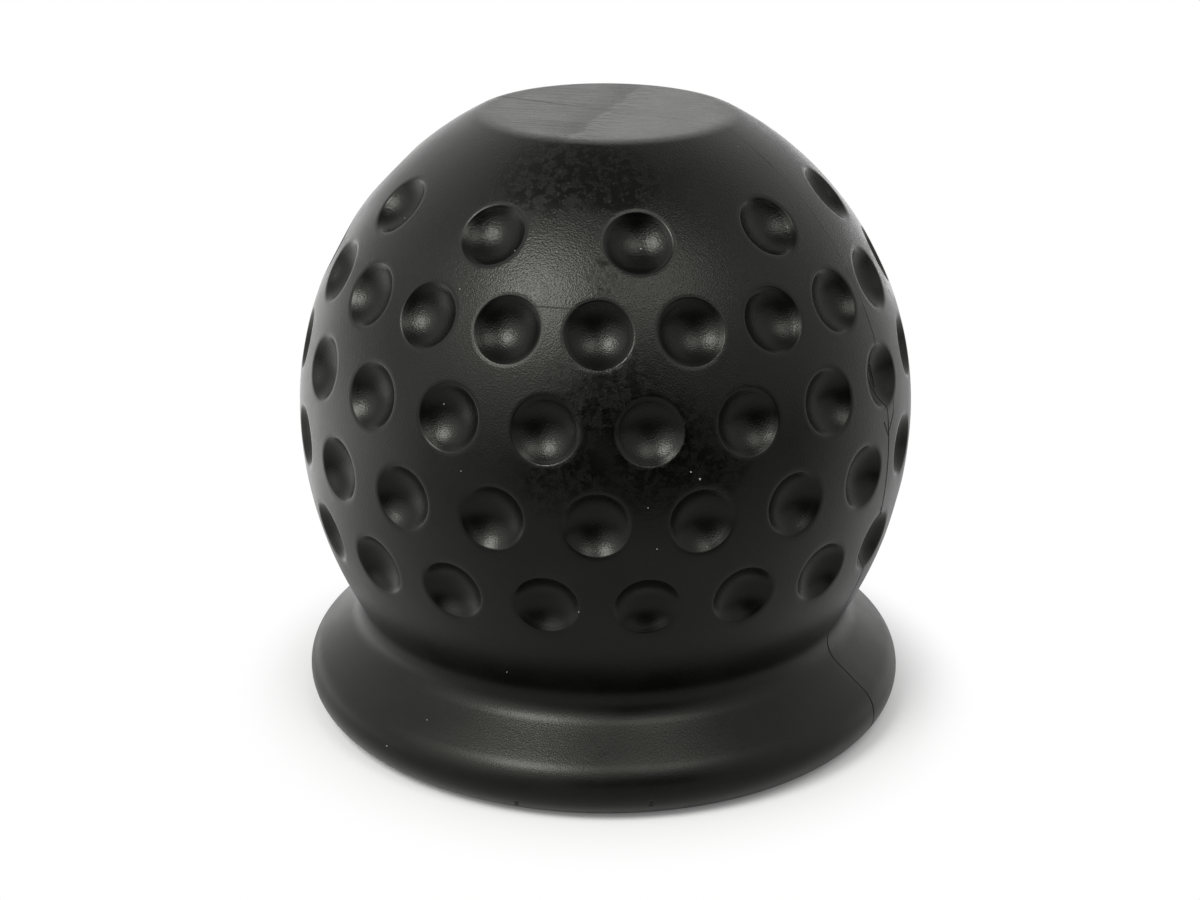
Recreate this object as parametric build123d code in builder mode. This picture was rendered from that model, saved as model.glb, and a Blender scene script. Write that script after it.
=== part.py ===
# Tow ball cover: one hollow rubber moulding, a dimpled ball on a flared skirt.
# It stands on its skirt, with the origin at the centre of the foot and +Z up.
# The mould's parting plane is XZ, so each row of dimples is counted from +X.

import os
from math import degrees

from build123d import *

# Socket for the tow ball, and the rubber around it
tow_ball_diameter = 50.0
ball_wall = 7.5  # at the equator
crown_wall = 6.75  # over the top of the tow ball
equator_height = 33.0  # centre of the tow ball above the foot
crown_flat_diameter = 26.0
crown_edge_radius = 3.5

# Throat that holds the cover on, and the mouth below it
throat_grip = 5.0  # the throat is this much narrower than the tow ball
neck_wall = 3.4  # at the corner between ball and skirt, before its fillet
neck_fillet = 3.0
socket_lip_radius = 4.0
mouth_flare = 3.5  # the mouth opens by this much on each side
mouth_height = 7.0
mouth_edge_radius = 1.0

# Skirt
skirt_overhang = 6.6  # beyond the corner of the neck
skirt_edge_radius = 3.5
skirt_slope = 38.0  # fall of the skirt's top, in degrees

# Dimples, in rows along the ball's section: spherical bowls with a round rim
dimple_diameter = 6.6
dimple_depth = 1.5  # below the rim
row_pitch = 9.15
row_drop = 0.55  # the row nearest the equator lies this far below it
row_counts = [20, 20, 20, 20, 10]  # from the lowest row up
row_starts = [0, 0.5, 0, 0.5, 0.5]  # first dimple from the parting plane, in its row's spacing
lowest_row = -1  # rows are numbered from the one nearest the equator

# Sizes that follow from these
socket_radius = tow_ball_diameter / 2
ball_radius = socket_radius + ball_wall
overall_height = equator_height + socket_radius + crown_wall
throat_radius = socket_radius - throat_grip / 2
neck_radius = throat_radius + neck_wall
mouth_radius = throat_radius + mouth_flare
skirt_edge_center = neck_radius + skirt_overhang - skirt_edge_radius
rim_radius = dimple_diameter / 2
bowl_radius = (rim_radius**2 + dimple_depth**2) / (2 * dimple_depth)
rim_sag = ball_radius - (ball_radius**2 - rim_radius**2) ** 0.5  # rim below the ball's surface
bowl_lift = bowl_radius - dimple_depth - rim_sag  # bowl's centre above the surface

with BuildPart() as tow_ball_cover:
    # Half section in the parting plane, turned about the axis
    with BuildSketch(Plane.XZ) as section:
        with BuildLine():
            skirt_edge = CenterArc(
                (skirt_edge_center, skirt_edge_radius), skirt_edge_radius, -90, 180 - skirt_slope
            )
            edge_end = skirt_edge @ 1
            skirt_top = PolarLine(
                edge_end,
                edge_end.X - neck_radius,
                180 - skirt_slope,
                length_mode=LengthMode.HORIZONTAL,
            )
            neck = skirt_top @ 1
            Polyline(neck, (0, neck.Y), (0, 0), skirt_edge @ 0)
        make_face()
        with BuildLine():
            equator = (ball_radius, equator_height)
            crown_edge = (crown_flat_diameter / 2, overall_height)
            crown_arc = TangentArc(equator, crown_edge, tangent=(0, 1))
            lower_arc = TangentArc(equator, neck, tangent=(0, -1))
            Polyline(crown_edge, (0, overall_height), (0, neck.Y), neck)
        make_face()
        fillet(section.vertices().sort_by_distance(neck)[0], neck_fillet)
        fillet(section.vertices().sort_by_distance(crown_edge)[0], crown_edge_radius)

        # Socket, throat and mouth
        with Locations((0, equator_height)):
            Circle(socket_radius, mode=Mode.SUBTRACT)
        Rectangle(
            throat_radius, equator_height, align=(Align.MIN, Align.MIN), mode=Mode.SUBTRACT
        )
        mouth = [(0, 0), (mouth_radius, 0), (throat_radius, mouth_height), (0, mouth_height)]
        Polygon(*mouth, align=None, mode=Mode.SUBTRACT)
        lip_drop = (socket_radius**2 - throat_radius**2) ** 0.5
        socket_lip = (throat_radius, equator_height - lip_drop)
        fillet(section.vertices().sort_by_distance(socket_lip)[0], socket_lip_radius)
        fillet(section.vertices().sort_by_distance((mouth_radius, 0))[0], mouth_edge_radius)
    revolve(axis=Axis.Z)

    # Dimples, each one square to the section at its row
    for row, (count, start) in enumerate(zip(row_counts, row_starts), start=lowest_row):
        along = row * row_pitch - row_drop
        arc = crown_arc if along > 0 else lower_arc
        seat = arc.position_at(abs(along), PositionMode.LENGTH)
        elevation = degrees(along / arc.radius)
        with PolarLocations(seat.X, count, start_angle=start * 360 / count):
            with Locations(Location((0, 0, seat.Y), (0, 90 - elevation, 0))):
                with Locations((0, 0, bowl_lift)):
                    Sphere(bowl_radius, rotation=(0, -90, 0), mode=Mode.SUBTRACT)

tow_ball_cover.part.label = "tow_ball_cover"

os.makedirs("parts", exist_ok=True)
export_step(tow_ball_cover.part, "parts/tow_ball_cover.step")

print(f"height {overall_height:.1f} mm, ball {2 * ball_radius:.1f} mm, rows {len(row_counts)}")
print(f"dimples {sum(row_counts)}, bowl radius {bowl_radius:.2f} mm")
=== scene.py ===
from math import atan2, cos, degrees, hypot, pi, radians, sin, sqrt, tan
from random import Random

import bmesh
import bpy
from mathutils import Matrix, Quaternion, Vector, noise
from mathutils.kdtree import KDTree


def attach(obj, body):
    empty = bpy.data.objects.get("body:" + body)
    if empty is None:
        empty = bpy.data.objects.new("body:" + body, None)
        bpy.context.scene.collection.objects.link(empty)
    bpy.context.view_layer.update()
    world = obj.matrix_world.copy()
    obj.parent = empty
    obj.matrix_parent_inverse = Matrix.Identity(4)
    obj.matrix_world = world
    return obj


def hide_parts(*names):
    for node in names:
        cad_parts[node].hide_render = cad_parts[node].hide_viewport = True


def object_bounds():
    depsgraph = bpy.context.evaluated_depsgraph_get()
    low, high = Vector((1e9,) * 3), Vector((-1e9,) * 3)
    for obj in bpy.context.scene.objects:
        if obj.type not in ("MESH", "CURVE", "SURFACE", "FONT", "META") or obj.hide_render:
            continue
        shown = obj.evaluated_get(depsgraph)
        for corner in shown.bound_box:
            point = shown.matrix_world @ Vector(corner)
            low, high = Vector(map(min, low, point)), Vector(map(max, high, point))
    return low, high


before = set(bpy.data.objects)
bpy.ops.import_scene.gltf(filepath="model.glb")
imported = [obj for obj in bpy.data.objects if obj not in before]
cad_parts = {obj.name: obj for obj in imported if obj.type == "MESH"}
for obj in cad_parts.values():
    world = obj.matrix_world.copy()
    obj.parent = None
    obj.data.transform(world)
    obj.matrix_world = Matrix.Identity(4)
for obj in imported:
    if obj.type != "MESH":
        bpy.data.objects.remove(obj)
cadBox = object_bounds()
scene = bpy.context.scene
mm = 0.001
samePoint = 1e-7  # metres: points closer than this are merged
onLine = 1e-6  # metres: closer than this counts as on the line
print("frame loaded:", sorted(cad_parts))

# Camera, at the photograph's angle
view = {
    "eye": (109.148, -202.541, 118.548),  # millimetres
    "aim": (0.418, -1.902, 28.125),
    "roll": 0.308,  # degrees
    "lens": 68.62,
    "sensor": 36.0,
    "clip": (0.01, 20),  # metres
    "picture": (1200, 900),
}


def addCamera():
    data = bpy.data.cameras.new("photo_camera")
    data.lens, data.sensor_width, data.sensor_fit = view["lens"], view["sensor"], "HORIZONTAL"
    data.clip_start, data.clip_end = view["clip"]
    camera = bpy.data.objects.new("photo_camera", data)
    scene.collection.objects.link(camera)
    eye, aim = Vector(view["eye"]) * mm, Vector(view["aim"]) * mm
    look = (aim - eye).to_track_quat("-Z", "Y")
    camera.rotation_mode = "QUATERNION"
    camera.rotation_quaternion = look @ Quaternion((0, 0, 1), radians(view["roll"]))
    camera.location = eye
    scene.camera = camera
    return camera


camera = addCamera()
print("camera set")

# The moulding, in millimetres: its width and height come from the frame
cover = {
    "ballRadius": round(cadBox[1].x / mm, 2),
    "equator": 33.0,
    "height": round(cadBox[1].z / mm, 2),
    "flatRadius": 13.0,
    "crownEdge": 3.5,
    "neckRadius": 25.9,
    "neckFillet": 3.0,
    "skirtRadius": 32.5,
    "skirtEdge": 3.5,
    "skirtSlope": 38.0,
    "socketRadius": 25.0,
    "throatRadius": 22.5,
    "lipRadius": 4.0,
    "mouthRadius": 26.0,
    "mouthHeight": 7.0,
    "mouthEdge": 1.0,
    "turns": 216,  # steps round the axis
    # steps along each stretch of the section, from the socket's top to the crown
    "steps": {
        "socket": 30, "lip": 5, "throat": 3, "mouth": 3, "mouthEdge": 6, "foot": 2, "skirtEdge": 24,
        "slope": 4, "neck": 12, "lower": 24, "crown": 44, "crownEdge": 9, "flat": 8,
    },
    "outside": (0.5, 0.3, 0.02),  # the outside starts this far from the socket, the mouth and the foot
    "sharp": 40,  # degrees: edges that turn more are shown sharp
}

dimple = {
    "radius": 3.3,
    "depth": 1.5,
    "pitch": 9.15,  # between rows, along the section
    "drop": 0.55,  # of the row nearest the equator, below it
    "rows": [(-1, 20, 0.0), (0, 20, 0.5), (1, 20, 0.0), (2, 20, 0.5), (3, 10, 0.5)],  # row, count, start
    "steps": 48,
    "rings": 6,
    "softEdge": 0.16,  # width of the round on the rim
    "rimSteps": 3,
    "rimMargin": 0.02,  # the rim's finish reaches this much further
    "bowlMargin": 0.1,  # the bowl's finish starts this far inside the rim
    "collar": 0.4,  # ball surface that goes with each dimple
    "gap": 0.2,  # strip that joins the collar to the ball
    "search": 1.6,  # the ball is cut within this many hole radii
    "shortEdge": 0.04,  # shorter edges round the hole are merged
}


def arcRadius(run, rise):
    return (run**2 + rise**2) / (2 * run)


def sectionFacts():
    # centres, radii and ends of the section's arcs, worked out as the CAD section has them
    slope = radians(cover["skirtSlope"])
    uphill = Vector((-cos(slope), sin(slope)))  # along the skirt's top
    square = Vector((sin(slope), cos(slope)))  # and out from it
    skirtCentre = Vector((cover["skirtRadius"] - cover["skirtEdge"], cover["skirtEdge"]))
    slopeStart = skirtCentre + cover["skirtEdge"] * square
    neck = slopeStart + (slopeStart.x - cover["neckRadius"]) * Vector((-1, tan(slope)))

    equator, ballRadius = cover["equator"], cover["ballRadius"]
    lowerRadius = arcRadius(ballRadius - neck.x, equator - neck.y)
    lowerCentre = Vector((ballRadius - lowerRadius, equator))
    crownRadius = arcRadius(ballRadius - cover["flatRadius"], cover["height"] - equator)
    crownCentre = Vector((ballRadius - crownRadius, equator))

    # neck fillet: on the slope's offset line, and outside the lower arc
    start = slopeStart + cover["neckFillet"] * square - lowerCentre
    half = start.dot(uphill)
    rest = start.length_squared - (lowerRadius + cover["neckFillet"]) ** 2
    neckCentre = lowerCentre + start - (half + sqrt(half**2 - rest)) * uphill

    # crown edge: inside the crown arc, touching the flat
    edgeRise = cover["height"] - cover["crownEdge"] - equator
    edgeReach = sqrt((crownRadius - cover["crownEdge"]) ** 2 - edgeRise**2)

    # lip between socket and throat, and the edge of the mouth's sloping wall
    lipReach = cover["throatRadius"] + cover["lipRadius"]
    lipDrop = sqrt((cover["socketRadius"] + cover["lipRadius"]) ** 2 - lipReach**2)
    flare = atan2(cover["mouthHeight"], cover["mouthRadius"] - cover["throatRadius"])
    edgeBack = cover["mouthEdge"] / tan((pi - flare) / 2)
    mouthCentre = Vector((cover["mouthRadius"] + edgeBack, cover["mouthEdge"]))
    return {
        "lipCentre": Vector((lipReach, equator - lipDrop)),
        "mouthEnd": mouthCentre - cover["mouthEdge"] * Vector((sin(flare), cos(flare))),
        "mouthCentre": mouthCentre,
        "skirtCentre": skirtCentre,
        "slopeEnd": neckCentre - cover["neckFillet"] * square,
        "neckCentre": neckCentre,
        "lowerCentre": lowerCentre,
        "lowerRadius": lowerRadius,
        "crownCentre": crownCentre,
        "crownRadius": crownRadius,
        "edgeCentre": crownCentre + Vector((edgeReach, edgeRise)),
    }


facts = sectionFacts()


def unique(items):
    return list(dict.fromkeys(items))  # in order, so that each run gives the same mesh


def onlyVerts(geom):
    return [g for g in geom if isinstance(g, bmesh.types.BMVert)]


def allOf(faces):
    # the faces with their corners and edges, as an operator takes them
    return unique(v for f in faces for v in f.verts) + unique(e for f in faces for e in f.edges) + faces


def drawLine(bm, tip, point, steps):
    step = (Vector((point[0], 0, point[1])) * mm - tip.co) / steps
    for _ in range(steps):
        tip = bmesh.ops.extrude_vert_indiv(bm, verts=[tip])["verts"][0]
        bmesh.ops.translate(bm, vec=step, verts=[tip])
    return tip


def drawArc(bm, tip, centre, toAngle, steps, clockwise=False):
    # from the tip, round the centre, to an angle from +X in the section
    middle = Vector((centre[0], 0, centre[1])) * mm
    turn = radians(toAngle) - atan2(tip.co.z - middle.z, tip.co.x - middle.x)
    turn = turn % (2 * pi) - (2 * pi if clockwise else 0)
    out = bmesh.ops.spin(bm, geom=[tip], cent=middle, axis=(0, -1, 0), angle=turn, steps=steps)
    return onlyVerts(out["geom_last"])[0]


def angleTo(centre, point):
    return degrees(atan2(point[1] - centre[1], point[0] - centre[0]))


def spinRound(bm, steps):
    # turns what is drawn once about the axis, and closes its seam and poles
    bmesh.ops.spin(
        bm,
        geom=bm.verts[:] + bm.edges[:],
        cent=(0, 0, 0),
        axis=(0, 0, 1),
        angle=2 * pi,
        steps=steps,
        use_merge=True,
    )
    bmesh.ops.remove_doubles(bm, verts=bm.verts[:], dist=samePoint)


def turnBody(bm):
    steps = cover["steps"]
    socketCentre = (0, cover["equator"])
    tip = bm.verts.new((0, 0, (cover["equator"] + cover["socketRadius"]) * mm))
    lipTurn = angleTo(socketCentre, facts["lipCentre"])
    tip = drawArc(bm, tip, socketCentre, lipTurn, steps["socket"], clockwise=True)
    tip = drawArc(bm, tip, facts["lipCentre"], 180, steps["lip"])
    tip = drawLine(bm, tip, (cover["throatRadius"], cover["mouthHeight"]), steps["throat"])
    tip = drawLine(bm, tip, facts["mouthEnd"], steps["mouth"])
    tip = drawArc(bm, tip, facts["mouthCentre"], 270, steps["mouthEdge"])
    tip = drawLine(bm, tip, (facts["skirtCentre"].x, 0), steps["foot"])
    tip = drawArc(bm, tip, facts["skirtCentre"], 90 - cover["skirtSlope"], steps["skirtEdge"])
    tip = drawLine(bm, tip, facts["slopeEnd"], steps["slope"])
    neckTurn = angleTo(facts["neckCentre"], facts["lowerCentre"])
    tip = drawArc(bm, tip, facts["neckCentre"], neckTurn, steps["neck"], clockwise=True)
    tip = drawArc(bm, tip, facts["lowerCentre"], 0, steps["lower"])
    crownTurn = angleTo(facts["crownCentre"], facts["edgeCentre"])
    tip = drawArc(bm, tip, facts["crownCentre"], crownTurn, steps["crown"])
    tip = drawArc(bm, tip, facts["edgeCentre"], 90, steps["crownEdge"])
    drawLine(bm, tip, (0, cover["height"]), steps["flat"])
    spinRound(bm, cover["turns"])
    bmesh.ops.recalc_face_normals(bm, faces=bm.faces[:])


def onBall(co):
    # nearest point of the ball's own section, which isn't quite a sphere's
    equator = cover["equator"] * mm
    reach, rise = hypot(co.x, co.y), co.z - equator
    part = "crown" if rise > 0 else "lower"
    centre, radius = facts[part + "Centre"].x * mm, facts[part + "Radius"] * mm
    out = Vector((reach - centre, rise)).normalized() * radius
    share = (centre + out.x) / reach
    return Vector((co.x * share, co.y * share, equator + out.y))


def ballSag(radius):
    # how far the ball falls away at this radius from a dimple's seat
    return cover["ballRadius"] - sqrt(cover["ballRadius"] ** 2 - radius**2)


def makeDish():
    # one dimple with its soft rim and collar, mouth up, seat at the origin
    rimRadius, collarRadius = dimple["radius"], dimple["radius"] + dimple["collar"]
    bowlRadius = arcRadius(dimple["depth"], rimRadius)
    bowlCentre = bowlRadius - dimple["depth"] - ballSag(rimRadius)
    bm = bmesh.new()
    tip = bm.verts.new((collarRadius * mm, 0, -ballSag(collarRadius) * mm))
    tip = drawLine(bm, tip, (rimRadius, -ballSag(rimRadius)), 1)
    drawArc(bm, tip, (0, bowlCentre), -90, dimple["rings"], clockwise=True)
    spinRound(bm, dimple["steps"])
    rim = [e for e in bm.edges if all(abs(v.co.xy.length - rimRadius * mm) < onLine for v in e.verts)]
    bmesh.ops.bevel(
        bm,
        geom=rim,
        offset=dimple["softEdge"] * mm,
        segments=dimple["rimSteps"],
        profile=0.5,
        affect="EDGES",
        material=-1,
    )
    mesh = bpy.data.meshes.new("dimple_dish")
    bm.to_mesh(mesh)
    bm.free()
    return mesh


def dimpleSeats():
    for row, count, start in dimple["rows"]:
        along = row * dimple["pitch"] - dimple["drop"]
        part = "crown" if along > 0 else "lower"
        tilt = along / facts[part + "Radius"]
        seat = facts[part + "Centre"] + facts[part + "Radius"] * Vector((cos(tilt), sin(tilt)))
        for k in range(count):
            turn = (k + start) * 2 * pi / count
            place = Matrix.Rotation(turn, 4, "Z") @ Matrix.Translation((seat.x * mm, 0, seat.y * mm))
            yield place @ Matrix.Rotation(pi / 2 - tilt, 4, "Y")


def cutHole(bm, near, seat, out, depth):
    # opens the ball where a dimple goes, and gives the edges round the hole
    geom = allOf(unique(f for v in near for f in v.link_faces))
    done = bmesh.ops.bisect_plane(
        bm, geom=geom, dist=onLine, plane_co=seat - depth * out, plane_no=out, clear_outer=True
    )
    edge = onlyVerts(done["geom_cut"])
    bmesh.ops.remove_doubles(bm, verts=edge, dist=dimple["shortEdge"] * mm)
    return unique(e for v in edge if v.is_valid for e in v.link_edges if e.is_boundary)


def pressDimples(bm):
    for v in bm.verts:
        v.tag = True
    dish = makeDish()
    bm.from_mesh(dish)
    bpy.data.meshes.remove(dish)
    bowlMask = bm.verts.layers.float.new("bowl")
    rimMask = bm.verts.layers.float.new("rim")
    bodyVerts = [v for v in bm.verts if v.tag]
    dishVerts = [v for v in bm.verts if not v.tag]
    pattern = dishVerts + unique(e for v in dishVerts for e in v.link_edges)
    pattern += unique(f for v in dishVerts for f in v.link_faces)
    finder = KDTree(len(bodyVerts))
    for k, v in enumerate(bodyVerts):
        finder.insert(v.co, k)
    finder.balance()
    collarRadius = (dimple["radius"] + dimple["collar"]) * mm
    holeRadius = collarRadius + dimple["gap"] * mm
    depth = holeRadius**2 / (2 * cover["ballRadius"] * mm)
    for place in dimpleSeats():
        seat, out = place.translation, place.to_3x3() @ Vector((0, 0, 1))
        near = [bodyVerts[k] for _, k, _ in finder.find_range(seat, dimple["search"] * holeRadius)]
        hole = cutHole(bm, [v for v in near if v.is_valid], seat, out, depth)
        added = onlyVerts(bmesh.ops.duplicate(bm, geom=pattern)["geom"])
        ring = [v for v in added if v.co.xy.length > collarRadius - onLine]
        for v in added:
            fromRim = v.co.xy.length / mm - dimple["radius"]
            v[bowlMask] = float(fromRim < -dimple["bowlMargin"])
            v[rimMask] = float(abs(fromRim) < dimple["softEdge"] + dimple["rimMargin"])
        bmesh.ops.transform(bm, matrix=place, verts=added)
        for v in ring:
            v.co = onBall(v.co)
        collar = unique(e for v in ring for e in v.link_edges if e.other_vert(v) in ring)
        bmesh.ops.bridge_loops(bm, edges=hole + collar)
    bmesh.ops.delete(bm, geom=dishVerts, context="VERTS")


# The mould's two halves meet in the XZ plane, and leave a fine groove with a lip at each side
seam = {
    "halfWidth": 0.13,
    "depth": 0.09,
    "lip": 0.004,  # flash along both sides
    "touch": 0.004,  # a point this close to one of the seam's lines is on it
    "reach": 1.2,  # strip of the surface that is cut
    "wander": 0.35,  # how fast the depth comes and goes, per millimetre
    "share": (0.65, 0.7),  # share of the depth: its mean, and how much it comes and goes
    "least": 0.1,  # and its smallest
    "crown": (41, 50, 0.3),  # it is faint over the crown: from height, to height, share
    "onFlat": 0.25,  # and the flat is rubbed nearly smooth
    "flatDrop": (0.3, 0.05),  # the flat starts and is whole this far below the top
    "dark": (0.04, 0.12, 1.0, 0.0),  # darkness across it: from, to, share, share
    "darkOnFlat": [(-7, -3, 0.85, 0.0), (3, 5, 0.05, 0.2)],  # and along the flat
}


def isOutside(co):
    # true on the ball, crown and skirt, false on the foot, mouth, throat and socket
    reach, height = hypot(co.x, co.y) / mm, co.z / mm
    offSocket, offMouth, offFoot = cover["outside"]
    if height > cover["mouthHeight"] * 2:  # level with the throat or higher
        return hypot(reach, height - cover["equator"]) > cover["socketRadius"] + offSocket
    return reach > cover["mouthRadius"] + offMouth and height > offFoot


def onSeam(co, side):
    # true on the outside, at this distance to either side of the parting plane
    return abs(abs(co.y) - side) < seam["touch"] * mm and isOutside(co)


def seamShare(co):
    mean, swing = seam["share"]
    share = mean + swing * noise.noise(co / mm * seam["wander"])
    if co.z > (cover["height"] - seam["flatDrop"][0]) * mm:
        return share * seam["onFlat"]
    start, end, low = seam["crown"]
    return share * (1 - (1 - low) * min(max((co.z / mm - start) / (end - start), 0), 1))


def scoreSeam(bm):
    half = seam["halfWidth"] * mm
    for y in (0, -half, half):
        near = [f for f in bm.faces if abs(f.calc_center_median().y) < seam["reach"] * mm]
        near = [f for f in near if isOutside(f.calc_center_median())]
        bmesh.ops.bisect_plane(
            bm, geom=allOf(near), dist=seam["touch"] / 2 * mm, plane_co=(0, y, 0), plane_no=(0, 1, 0)
        )
    bm.normal_update()
    moves = []
    for v in bm.verts:
        if onSeam(v.co, 0):
            moves.append((v, -seam["depth"] * mm * max(seamShare(v.co), seam["least"])))
        elif onSeam(v.co, half):
            moves.append((v, seam["lip"] * mm * max(seamShare(v.co), 0)))
    for v, step in moves:
        v.co += v.normal * step


def addObject(name, bm):
    mesh = bpy.data.meshes.new(name)
    bm.to_mesh(mesh)
    bm.free()
    added = bpy.data.objects.new(name, mesh)
    scene.collection.objects.link(added)
    return added


def makeCover():
    bm = bmesh.new()
    turnBody(bm)
    print("section turned:", len(bm.faces), "faces")
    pressDimples(bm)
    print("dimples pressed:", len(bm.faces), "faces")
    scoreSeam(bm)
    bmesh.ops.recalc_face_normals(bm, faces=bm.faces[:])
    for f in bm.faces:
        f.smooth = True
        f.material_index = 0 if isOutside(f.calc_center_median()) else 1
    for e in bm.edges:
        beside = all(onSeam(v.co, seam["halfWidth"] * mm) for v in e.verts)
        e.smooth = not beside and e.calc_face_angle(0) < radians(cover["sharp"])
    loose = sum(not e.is_manifold for e in bm.edges)
    made = addObject("dimpled_cover", bm)
    print("cover made:", len(made.data.polygons), "faces,", loose, "open edges")
    return made


# Small helpers for shader nodes: a socket is linked, anything else is set
def setSocket(tree, socket, value):
    if isinstance(value, bpy.types.NodeSocket):
        tree.links.new(value, socket)
    else:
        socket.default_value = value


def put(tree, kind, props, **values):
    node = tree.nodes.new("ShaderNode" + kind)
    for name, value in props.items():
        setattr(node, name, value)
    for name, value in values.items():
        setSocket(tree, node.inputs[name.replace("_", " ")], value)
    return node


def mathNode(tree, operation, first, second=0.0):
    node = put(tree, "Math", {"operation": operation})
    setSocket(tree, node.inputs[0], first)
    setSocket(tree, node.inputs[1], second)
    return node.outputs[0]


def times(tree, first, second):
    return mathNode(tree, "MULTIPLY", first, second)


def plus(tree, first, second):
    return mathNode(tree, "ADD", first, second)


def larger(tree, first, second):
    return mathNode(tree, "MAXIMUM", first, second)


def ramp(tree, value, low, high, toLow=0.0, toHigh=1.0):
    bounds = {"From_Min": low, "From_Max": high, "To_Min": toLow, "To_Max": toHigh}
    node = put(tree, "MapRange", {"interpolation_type": "SMOOTHSTEP"}, Value=value, **bounds)
    return node.outputs["Result"]


def thin(tree, value, mask, share):
    # takes a value down to a share of itself where the mask is 1
    return times(tree, value, ramp(tree, mask, 0, 1, 1.0, share))


def mixColor(tree, amount, first, second):
    node = put(tree, "Mix", {"data_type": "RGBA"})
    for k, value in ((0, amount), (6, first), (7, second)):  # factor, colour A, colour B
        setSocket(tree, node.inputs[k], value)
    return node.outputs[2]


def vectorNode(tree, operation, first, second):
    node = put(tree, "VectorMath", {"operation": operation})
    setSocket(tree, node.inputs[0], first)
    setSocket(tree, node.inputs[1], second)
    return node.outputs


def scaled(tree, vector, scale):
    return put(tree, "VectorMath", {"operation": "SCALE"}, Vector=vector, Scale=scale).outputs["Vector"]


def towards(tree, vector, way):
    return vectorNode(tree, "DOT_PRODUCT", vector, way)["Value"]


def distance(tree, place, point):
    return vectorNode(tree, "DISTANCE", place, point)["Value"]


def millimetres(tree):
    return scaled(tree, put(tree, "TexCoord", {}).outputs["Object"], 1 / mm)


def noiseNode(tree, place, scale, detail=2.0, roughness=0.5):
    node = put(tree, "TexNoise", {}, Vector=place, Scale=scale, Detail=detail, Roughness=roughness)
    return node.outputs[0]


def stretchedNoise(tree, place, stretch, detail, roughness):
    drawn = put(tree, "Mapping", {}, Vector=place, Scale=stretch).outputs[0]
    return noiseNode(tree, drawn, 1.0, detail, roughness)


def startMaterial(name, specular):
    material = bpy.data.materials.new(name)
    material.use_nodes = True
    shader = material.node_tree.nodes["Principled BSDF"]
    shader.inputs["Specular IOR Level"].default_value = specular
    return material, material.node_tree, shader


# Grain left by the mould, cloudy patches over it, and the leathery, broken pattern of the dark smears.
# A noise here and below is its scale per millimetre, detail and roughness
mouldGrain = {
    "grain": (6.2, 1.0, 0.5),
    "cloud": (0.16, 5.0, 0.62),
    "cloudEdge": (0.34, 0.66),
    "leather": (1.3, 3.0, 0.6),
    "broken": (1.0, 5.0, 0.75),
    "brokenEdge": (0.42, 0.54),
}


def makeGrainGroup():
    tree = bpy.data.node_groups.new("mould_grain", "ShaderNodeTree")
    for label, name in (("Grain", "grain"), ("Patch", "cloud")):
        scale = tree.interface.new_socket(label, in_out="INPUT", socket_type="NodeSocketFloat")
        scale.default_value = mouldGrain[name][0]
    for label in ("Height", "Cloud", "Leather", "Broken"):
        tree.interface.new_socket(label, in_out="OUTPUT", socket_type="NodeSocketFloat")
    given, out = tree.nodes.new("NodeGroupInput").outputs, tree.nodes.new("NodeGroupOutput").inputs
    place = millimetres(tree)
    tree.links.new(noiseNode(tree, place, given["Grain"], *mouldGrain["grain"][1:]), out["Height"])
    cloud = noiseNode(tree, place, given["Patch"], *mouldGrain["cloud"][1:])
    tree.links.new(ramp(tree, cloud, *mouldGrain["cloudEdge"]), out["Cloud"])
    tree.links.new(noiseNode(tree, place, *mouldGrain["leather"]), out["Leather"])
    broken = noiseNode(tree, place, *mouldGrain["broken"])
    tree.links.new(ramp(tree, broken, *mouldGrain["brokenEdge"]), out["Broken"])
    return tree


# The flat on top is scuffed grey and painted paler still as sheen, with scratches, and a flow mark where
# the rubber met in the mould
flatTop = {
    # grey scuff, made paler still as painted sheen
    "scuffAndSheen": (0.076, 0.076, 0.074, 1),
    "drop": (0.35, 0.02),  # the scuff and painted sheen start, and are whole, this far below the top
    "rim": (10.5, 13.2, 1.0, 0.55),  # where it thins out: from, to, share, share
    "flowMark": (0.19, -0.35),  # its lean, and where it crosses the middle
    "wander": (0.4, 4.0, 0.6),
    "ragged": 3.0,  # how far the mark wanders, in millimetres
    "markEdge": (-0.4, 0.3),
    "leftScuffAndSheen": 0.86,  # share of the scuff and painted sheen on the mark's left
    "bandStart": (-5.5, -0.9),  # darker band on that side
    "bandEnd": (-0.6, 0.2, 1.0, 0.0),
    "strip": (0.5, 4.0, 1.0, 0.15),  # rippled strip on its right: from, to, share, share
    "ripple": ((0.55, 1.5, 1.0), 2.0, 0.5),
    "rippleEdge": (0.38, 0.62),
    "scratchTurn": 17.0,  # degrees from the seam
    "scratch": ((0.1, 2.4, 0.1), 4.0, 0.7),
    "scratchEdge": (0.5, 0.62),
    "rightScratches": 0.25,  # share of the scratches on the mark's right
    "scratchHeight": -0.4,  # where the ripples' is 1
    "mottle": (1.4, 4.0, 0.65),
    "mottleEdge": (0.38, 0.62),
    "losses": (0.7, 0.5, 0.35, 0.25),  # scuff and painted sheen lost in the band, scratches, ripples and mottle
}


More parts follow.
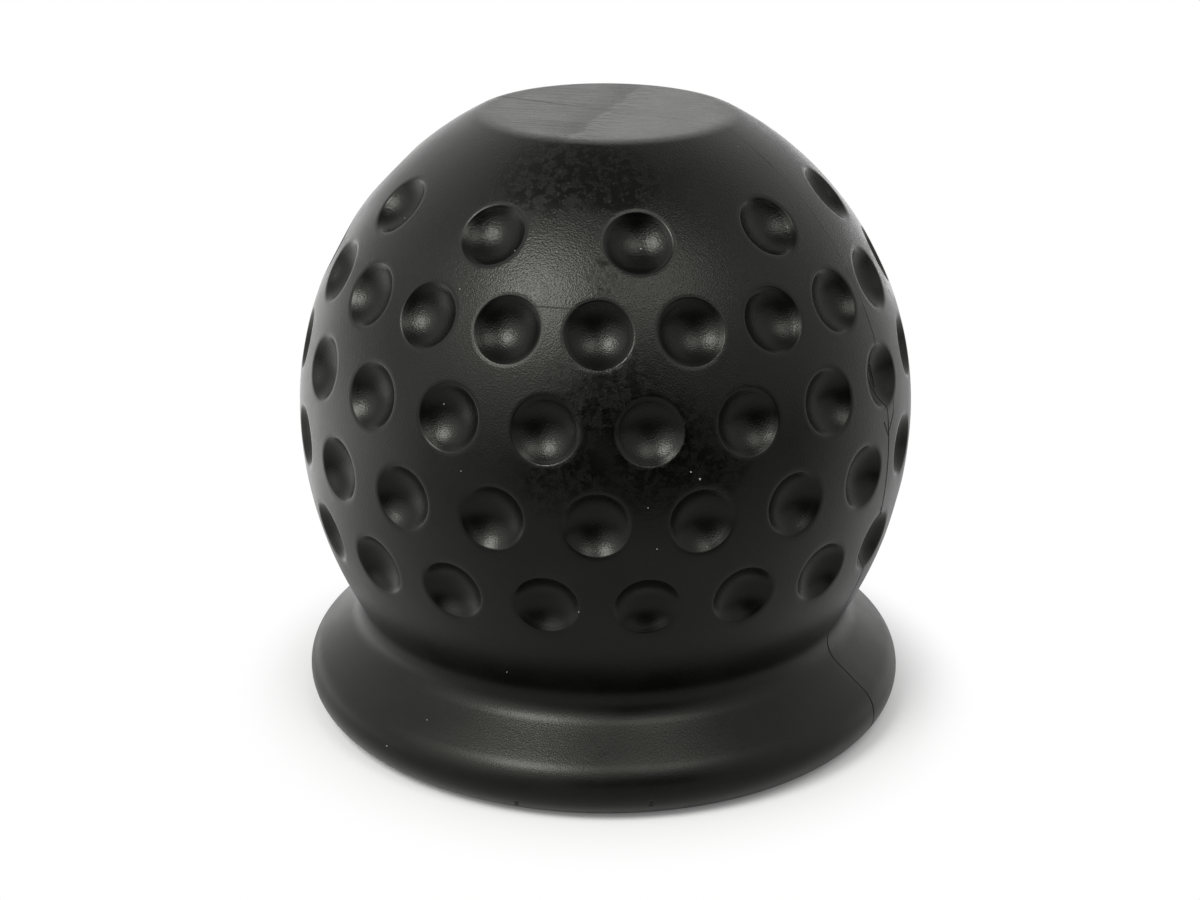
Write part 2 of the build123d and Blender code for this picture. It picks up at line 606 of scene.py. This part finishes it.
def flatMarks(tree, place, axes):
    # the grey scuff and painted sheen on the flat, and the height of its marks
    x, y, z = axes
    flat = ramp(tree, z, *(cover["height"] - drop for drop in flatTop["drop"]))
    squares = plus(tree, mathNode(tree, "POWER", x, 2), mathNode(tree, "POWER", y, 2))
    flat = times(tree, flat, ramp(tree, mathNode(tree, "SQRT", squares), *flatTop["rim"]))

    lean, offset = flatTop["flowMark"]
    across = plus(tree, plus(tree, x, offset), times(tree, y, lean))
    wander = mathNode(tree, "SUBTRACT", noiseNode(tree, place, *flatTop["wander"]), 0.5)
    across = plus(tree, across, times(tree, wander, flatTop["ragged"]))
    right = ramp(tree, across, *flatTop["markEdge"])
    band = times(tree, ramp(tree, across, *flatTop["bandStart"]), ramp(tree, across, *flatTop["bandEnd"]))

    turn = (0, 0, radians(-flatTop["scratchTurn"]))
    turned = put(tree, "Mapping", {}, Vector=place, Rotation=turn).outputs[0]
    scratch = ramp(tree, stretchedNoise(tree, turned, *flatTop["scratch"]), *flatTop["scratchEdge"])
    scratch = thin(tree, scratch, right, flatTop["rightScratches"])
    ripples = ramp(tree, stretchedNoise(tree, turned, *flatTop["ripple"]), *flatTop["rippleEdge"])
    strip = times(tree, right, ramp(tree, across, *flatTop["strip"]))
    ripples = times(tree, ripples, strip)
    mottle = ramp(tree, noiseNode(tree, place, *flatTop["mottle"]), *flatTop["mottleEdge"])

    scuffAndSheen = times(tree, flat, ramp(tree, right, 0, 1, flatTop["leftScuffAndSheen"], 1.0))
    for mask, loss in zip((band, scratch, ripples, mottle), flatTop["losses"]):
        scuffAndSheen = thin(tree, scuffAndSheen, mask, 1.0 - loss)
    height = plus(tree, ripples, times(tree, scratch, flatTop["scratchHeight"]))
    return scuffAndSheen, times(tree, height, flat)


# Short scored line across a row of dimples: below it the rubber is duller
score = {
    "height": 52.15,
    "dark": (0.04, 0.11, 0.8, 0.0),  # darkness across it: from, to, share, share
    "turn": -71.0,  # degrees
    "reach": (26.3, 26.6),  # it starts this far out along that turn
    "below": (-0.3, 0.1, 1.0, 0.0),  # from the line: from, to, share, share
}


def seamLine(tree, place, axes):
    # dark in the seam's groove, where it isn't rubbed away, and in the scored line
    x, y, z = axes
    groove = ramp(tree, mathNode(tree, "ABSOLUTE", y), *seam["dark"])
    start, end, low = seam["crown"]
    onCrown = ramp(tree, z, start, end, 1.0, low)
    onFlat = larger(tree, *(ramp(tree, x, *stretch) for stretch in seam["darkOnFlat"]))
    flat = ramp(tree, z, *(cover["height"] - drop for drop in seam["flatDrop"]))
    groove = times(tree, groove, ramp(tree, flat, 0, 1, onCrown, onFlat))
    away = mathNode(tree, "ABSOLUTE", mathNode(tree, "SUBTRACT", z, score["height"]))
    way = (cos(radians(score["turn"])), sin(radians(score["turn"])), 0)
    along = ramp(tree, towards(tree, place, way), *score["reach"])
    scored = times(tree, ramp(tree, away, *score["dark"]), along)
    return larger(tree, groove, scored)


# Tears at the seam, in and below one dimple, and two nicks in the skirt:
# chains of points, each with half the tear's width there
tears = {
    "chains": [
        [((30.08, -0.04, 43.85), 0.05), ((29.78, 0.31, 42.85), 0.10), ((29.75, 0.48, 41.94), 0.12),
         ((29.96, 0.64, 40.86), 0.30), ((30.26, 0.52, 40.10), 0.10), ((30.66, 0.16, 39.43), 0.05)],
        [((29.74, -0.04, 42.10), 0.2), ((29.75, 0.48, 41.94), 0.12)],
        [((31.60, 1.90, 39.40), 0.06), ((32.04, 1.71, 38.32), 0.09), ((32.22, 1.42, 37.16), 0.10),
         ((32.42, -0.30, 35.45), 0.22)],
        [((7.10, -31.25, 1.85), 0.12), ((6.88, -30.85, 1.17), 0.28)],
        [((19.38, -25.90, 2.60), 0.12), ((19.33, -25.77, 2.11), 0.28)],
        [((31.90, -1.20, 38.20), 0.06), ((32.20, -1.10, 36.93), 0.08), ((32.42, -0.30, 35.45), 0.22)],
    ],
    "edge": (0.5, 1.3),  # a tear is whole within the first share of its half width, and ends at the second
    "depth": 4.0,  # times the grain's
}


def offLine(tree, place, first, last):
    # distance from a short line between two points
    span = Vector(last) - Vector(first)
    here = vectorNode(tree, "SUBTRACT", place, first)["Vector"]
    along = mathNode(tree, "DIVIDE", towards(tree, here, span / span.length), span.length)
    along.node.use_clamp = True
    return distance(tree, here, scaled(tree, tuple(span), along))


def tearMask(tree, place):
    mask = 0.0
    for chain in tears["chains"]:
        for (first, firstHalf), (last, lastHalf) in zip(chain, chain[1:]):
            inner, outer = (share * (firstHalf + lastHalf) / 2 for share in tears["edge"])
            mask = larger(tree, ramp(tree, offLine(tree, place, first, last), inner, outer, 1.0, 0.0), mask)
    return mask


# Black rubber: paler in worn clouds, smoother in the dark smears and in the bowls, and painted darker in
# the bowls as shade
rubber = {
    "color": (0.0012, 0.0012, 0.0010, 1),
    "worn": (0.0026, 0.0026, 0.0022, 1),
    # darker colour in the bowls: painted shade in the hollows
    "bowlPaintedShade": (0.0009, 0.0009, 0.0008, 1),
    "bloom": (0.022, 0.022, 0.021, 1),
    "seamColor": (0.001, 0.001, 0.001, 1),
    "roughness": 0.28,
    "cloudRoughness": 0.04,  # this and the next four are added to it
    "smearRoughness": -0.11,
    "bowlRoughness": -0.05,
    "lowRoughness": 0.05,  # below the scored line
    "lineRoughness": 0.25,
    "specular": 0.26,
    "specularTint": (0.99, 1.0, 0.92, 1),
    "grainDepth": 0.041,  # millimetres
    "grainFade": (8, 52, 0.38, 0.75),  # below the scored line: from height, to height, share, share
    "bowlGrain": 1.0,  # shares of the grain
    "rimGrain": 0.2,
    "smearGrain": 0.15,
    "leather": 0.8,  # share of that depth in the smears
    # dark smears: middle and reach
    "smears": [
        ((14, -27, 46), 7), ((21, -24, 38), 9), ((12, -30, 36), 6), ((3, -16, 62), 7), ((9, -15, 62), 5),
        ((25, -19, 47), 5), ((11.6, -22.1, 54.7), 2.6), ((-20, 22, 45), 9), ((-30, -5, 30), 7),
        ((10, 30, 26), 8), ((28, 12, 50), 6),
    ],
    # pale bloom on the skirt
    "blooms": [((29, 3, 7), 5), ((30, 8, 6), 6), ((-27, -13, 7), 4), ((-12, 28, 7), 6)],
    "spotCore": 0.45,  # a smear or bloom is whole within this share of its reach
}


def spotMask(tree, place, spots):
    mask = 0.0
    for middle, reach in spots:
        spot = ramp(tree, distance(tree, place, middle), rubber["spotCore"] * reach, reach, 1.0, 0.0)
        mask = larger(tree, spot, mask)
    return mask


def outerRubber(grainGroup):
    material, tree, shader = startMaterial("moulded_rubber", rubber["specular"])
    shader.inputs["Specular Tint"].default_value = rubber["specularTint"]
    place = millimetres(tree)
    axes = put(tree, "SeparateXYZ", {}, Vector=place).outputs[:]
    marks = put(tree, "Group", {"node_tree": grainGroup}).outputs
    bowl = put(tree, "Attribute", {"attribute_name": "bowl"}).outputs["Fac"]
    rim = put(tree, "Attribute", {"attribute_name": "rim"}).outputs["Fac"]
    smears = times(tree, spotMask(tree, place, rubber["smears"]), marks["Broken"])
    smears = thin(tree, smears, bowl, 0.0)
    bloom = times(tree, spotMask(tree, place, rubber["blooms"]), marks["Cloud"])
    scuffAndSheen, filmHeight = flatMarks(tree, place, axes)
    torn = tearMask(tree, place)
    line = larger(tree, seamLine(tree, place, axes), torn)
    low = ramp(tree, mathNode(tree, "SUBTRACT", axes[2], score["height"]), *score["below"])

    color = mixColor(tree, marks["Cloud"], rubber["color"], rubber["worn"])
    color = mixColor(tree, smears, color, rubber["color"])
    # painted shade in the bowls
    color = mixColor(tree, bowl, color, rubber["bowlPaintedShade"])
    color = mixColor(tree, bloom, color, rubber["bloom"])
    # grey scuff on the flat, partly painted sheen
    color = mixColor(tree, scuffAndSheen, color, flatTop["scuffAndSheen"])
    color = mixColor(tree, line, color, rubber["seamColor"])
    tree.links.new(color, shader.inputs["Base Color"])

    plain = rubber["roughness"]
    rough = ramp(tree, marks["Cloud"], 0, 1, plain, plain + rubber["cloudRoughness"])
    for mask, name in ((smears, "smear"), (bowl, "bowl"), (low, "low"), (line, "line")):
        rough = plus(tree, rough, times(tree, mask, rubber[name + "Roughness"]))
    tree.links.new(rough, shader.inputs["Roughness"])

    fade = mathNode(tree, "SUBTRACT", 1.0, ramp(tree, axes[2], *rubber["grainFade"]))
    fade = mathNode(tree, "SUBTRACT", 1.0, times(tree, low, fade))
    height = times(tree, marks["Height"], fade)
    for mask, name in ((bowl, "bowl"), (rim, "rim"), (smears, "smear")):
        height = thin(tree, height, mask, rubber[name + "Grain"])
    leather = times(tree, marks["Leather"], times(tree, smears, rubber["leather"]))
    height = plus(tree, plus(tree, height, leather), filmHeight)
    height = mathNode(tree, "SUBTRACT", height, times(tree, torn, tears["depth"]))
    bump = put(tree, "Bump", {}, Height=height, Distance=rubber["grainDepth"] * mm, Strength=1.0)
    tree.links.new(bump.outputs["Normal"], shader.inputs["Normal"])
    return material


# The core of the mould is plainer: smoother, with fine turning marks
socket = {
    "color": (0.0065, 0.0065, 0.0060, 1),
    "worn": (0.0100, 0.0100, 0.0092, 1),
    "roughness": (0.38, 0.48),
    "specular": 0.2,
    "grain": 2.0,  # scales of the grain and of its clouds, per millimetre
    "patch": 0.22,
    "ringPitch": 0.5,  # millimetres
    "ringShare": 0.3,  # of the depth
    "depth": 0.01,
}


def socketRubber(grainGroup):
    material, tree, shader = startMaterial("socket_rubber", socket["specular"])
    scales = {"Grain": socket["grain"], "Patch": socket["patch"]}
    marks = put(tree, "Group", {"node_tree": grainGroup}, **scales).outputs
    height = put(tree, "SeparateXYZ", {}, Vector=millimetres(tree)).outputs["Z"]
    rings = mathNode(tree, "SINE", times(tree, height, 2 * pi / socket["ringPitch"]))
    rings = plus(tree, times(tree, rings, socket["ringShare"]), marks["Height"])
    color = mixColor(tree, marks["Cloud"], socket["color"], socket["worn"])
    tree.links.new(color, shader.inputs["Base Color"])
    tree.links.new(ramp(tree, marks["Cloud"], 0, 1, *socket["roughness"]), shader.inputs["Roughness"])
    bump = put(tree, "Bump", {}, Height=rings, Distance=socket["depth"] * mm, Strength=1.0)
    tree.links.new(bump.outputs["Normal"], shader.inputs["Normal"])
    return material


grainGroup = makeGrainGroup()
piece = makeCover()
piece.data.materials.append(outerRubber(grainGroup))
piece.data.materials.append(socketRubber(grainGroup))
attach(piece, "root")
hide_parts("tow_ball_cover")
print("rubber laid on")

# Dust: pale crumbs that cling to the rubber, some where the photograph shows them
dust = {
    "color": (0.42, 0.42, 0.40, 1),
    "shade": (0.20, 0.20, 0.19, 1),
    "patch": 3.0,  # colour noise per millimetre
    "roughness": 0.9,
    "specular": 0.1,
    # place in the picture, then size in millimetres
    "seen": [
        (405, 218, 0.20), (444, 404, 0.18), (461, 471, 0.18), (657, 549, 0.16), (707, 547, 0.14),
        (691, 472, 0.24), (700, 479, 0.26), (579, 612, 0.20), (507, 672, 0.24), (801, 592, 0.20),
        (738, 147, 0.18), (427, 720, 0.20), (387, 746, 0.24), (460, 289, 0.20), (641, 249, 0.26),
        (515, 251, 0.24), (557, 252, 0.22), (648, 508, 0.16), (612, 100, 0.22),
    ],
    "scattered": 36,
    "unseen": (105, 255),  # the side away from the camera, in degrees from it
    "heights": (4, cover["height"] - 2),
    "sizes": (0.10, 0.22),
    "lift": 0.1,  # share of a crumb's size
    "long": (0.7, 1.0),  # a crumb's shape, in shares of its size
    "wide": (0.5, 1.0),
    "thick": 0.5,
    "ragged": 0.15,  # its points move in or out by up to this share
    "seed": 7,
}


def pixelRay(x, y):
    wide, high = view["picture"]
    across = (x / wide - 0.5) * view["sensor"]
    up = (0.5 - y / high) * view["sensor"] * high / wide
    way = camera.rotation_quaternion @ Vector((across, up, -view["lens"]))
    return camera.location, way.normalized()


def cameraWay(turn, height):
    # a direction from the ball, turned from the camera's and at a height, both in degrees
    eye = Vector((*view["eye"][:2], 0)).normalized()
    flat = eye * cos(radians(height)) + Vector((0, 0, sin(radians(height))))
    return Matrix.Rotation(radians(turn), 3, "Z") @ flat


def dropCrumb(bm, spot, normal, size, draw):
    # a flattened crumb, sunk a little into the surface
    turn = normal.to_track_quat("Z", "Y") @ Quaternion((0, 0, 1), draw.uniform(0, 2 * pi))
    place = Matrix.Translation(spot + normal * dust["lift"] * size * mm) @ turn.to_matrix().to_4x4()
    shape = (draw.uniform(*dust["long"]), draw.uniform(*dust["wide"]), dust["thick"], 1)
    place = place @ Matrix.Diagonal(shape)
    crumb = bmesh.ops.create_icosphere(bm, subdivisions=1, radius=size / 2 * mm, matrix=place)["verts"]
    for v in crumb:
        v.co += (v.co - spot) * draw.uniform(-dust["ragged"], dust["ragged"])


def makeDust(carrier):
    bpy.context.view_layer.update()
    draw = Random(dust["seed"])
    bm = bmesh.new()
    for x, y, size in dust["seen"]:
        hit, spot, normal, _ = carrier.ray_cast(*pixelRay(x, y))
        if hit:
            dropCrumb(bm, spot, normal, size, draw)
    for _ in range(dust["scattered"]):
        turn, height = draw.uniform(*dust["unseen"]), draw.uniform(*dust["heights"])
        out = cameraWay(turn, 0)
        start = 3 * cover["ballRadius"] * out + Vector((0, 0, height))
        hit, spot, normal, _ = carrier.ray_cast(start * mm, -out)
        if hit:
            dropCrumb(bm, spot, normal, draw.uniform(*dust["sizes"]), draw)
    for f in bm.faces:
        f.smooth = True
    return addObject("dust_crumbs", bm)


def dustMaterial():
    material, tree, shader = startMaterial("pale_dust", dust["specular"])
    shader.inputs["Roughness"].default_value = dust["roughness"]
    patches = noiseNode(tree, millimetres(tree), dust["patch"])
    tree.links.new(mixColor(tree, patches, dust["shade"], dust["color"]), shader.inputs["Base Color"])
    return material


crumbs = makeDust(piece)
crumbs.data.materials.append(dustMaterial())
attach(crumbs, "root")
print("dust laid:", len(crumbs.data.polygons), "faces")

# Studio. Turns are degrees from the camera's side; the room's levels go by the cosine from a direction
studio = {
    "fill": 0.3,  # what the room gives to dull surfaces
    "darkTurn": 11,  # dim end of the room, by the camera
    "dimRoom": (0.2, 0.9, 1.0, 0.74),  # towards it: from, to, level, level
    "darkEnd": (0.81, 0.945, 1.0, 0.0),
    "sides": (-0.8, 0.8, 1.0, 0.86),  # left to right
    "ceiling": (0.7, 0.97, 1.0, 0.34),
    "floorColor": (0.86, 0.86, 0.86, 1),
    "floorRadius": 3.0,  # metres
    "floorSteps": 96,
    "floorGlow": (27, 42),  # plain paint under the skirt, then a glow, in millimetres from the axis
    "underSkirt": (30, 70, 0.6, 1.0),  # the glow dims close to the object: from, to, level, level
    "nearFloor": (0, 60, 1.0, 0.62),  # and towards the dim end
    "farFloor": (75, 190, 1.0, 0.06),
    "backTurn": -138,  # and it is brightest behind, on the left
    "backFloor": (30, 100, 1.0, 1.9),
    # turn, height, watts, size in metres
    "lamps": [(-36, 48, 1.32, 0.19), (29, 54, 0.49, 0.22), (-45, 40, 0.6, 0.55), (40, 44, 0.07, 0.4)],
    "lampColor": (1.0, 1.0, 0.98),
    "lampReach": 0.45,  # metres from the ball's centre
}


def rayMask(tree):
    # 1 for what the camera sees, straight or in a reflection or through glass
    path = put(tree, "LightPath", {}).outputs
    seen = larger(tree, path["Is Camera Ray"], path["Is Glossy Ray"])
    return larger(tree, seen, path["Is Transmission Ray"])


def whiteToCamera(tree, level):
    seen = put(tree, "LightPath", {}).outputs["Is Camera Ray"]
    return ramp(tree, seen, 0, 1, level, 1.0)


def addFloor():
    bm = bmesh.new()
    bmesh.ops.create_circle(bm, cap_ends=True, segments=studio["floorSteps"], radius=studio["floorRadius"])
    floor = addObject("studio_floor", bm)
    material = bpy.data.materials.new("pale_floor")
    material.use_nodes = True
    tree = material.node_tree
    tree.nodes.remove(tree.nodes["Principled BSDF"])
    place = millimetres(tree)
    away = put(tree, "VectorMath", {"operation": "LENGTH"}, Vector=place).outputs["Value"]
    ahead = towards(tree, place, cameraWay(studio["darkTurn"], 0))
    behind = towards(tree, place, cameraWay(studio["backTurn"], 0))
    level = ramp(tree, away, *studio["underSkirt"])
    for along, name in ((ahead, "nearFloor"), (ahead, "farFloor"), (behind, "backFloor")):
        level = times(tree, level, ramp(tree, along, *studio[name]))
    paint = put(tree, "BsdfDiffuse", {}, Color=studio["floorColor"])
    glow = put(tree, "Emission", {}, Strength=whiteToCamera(tree, level))
    mix = put(tree, "MixShader", {}, Fac=times(tree, ramp(tree, away, *studio["floorGlow"]), rayMask(tree)))
    tree.links.new(paint.outputs[0], mix.inputs[1])
    tree.links.new(glow.outputs[0], mix.inputs[2])
    tree.links.new(mix.outputs[0], tree.nodes["Material Output"].inputs["Surface"])
    floor.data.materials.append(material)


def addWorld():
    world = bpy.data.worlds.new("white_room")
    world.use_nodes = True
    scene.world = world
    tree = world.node_tree
    way = put(tree, "TexCoord", {}).outputs["Generated"]
    ahead = towards(tree, way, cameraWay(studio["darkTurn"], 0))
    across = towards(tree, way, cameraWay(90, 0))
    up = put(tree, "SeparateXYZ", {}, Vector=way).outputs["Z"]
    level = ramp(tree, rayMask(tree), 0, 1, studio["fill"], 1.0)
    for along, name in ((ahead, "dimRoom"), (ahead, "darkEnd"), (across, "sides"), (up, "ceiling")):
        level = times(tree, level, ramp(tree, along, *studio[name]))
    background = tree.nodes["Background"]
    background.inputs["Color"].default_value = (1, 1, 1, 1)
    tree.links.new(whiteToCamera(tree, level), background.inputs["Strength"])


def addLamps():
    centre = Vector((0, 0, cover["equator"] * mm))
    for k, (turn, height, watts, size) in enumerate(studio["lamps"]):
        data = bpy.data.lights.new(f"soft_lamp_{k + 1}", "AREA")
        data.shape, data.size, data.energy = "DISK", size, watts
        data.color = studio["lampColor"]
        lamp = bpy.data.objects.new(data.name, data)
        scene.collection.objects.link(lamp)
        way = cameraWay(turn, height)
        lamp.location = centre + way * studio["lampReach"]
        lamp.rotation_mode = "QUATERNION"
        lamp.rotation_quaternion = (-way).to_track_quat("-Z", "Y")


addFloor()
addWorld()
addLamps()
scene.view_settings.view_transform = "Standard"
print("studio set")
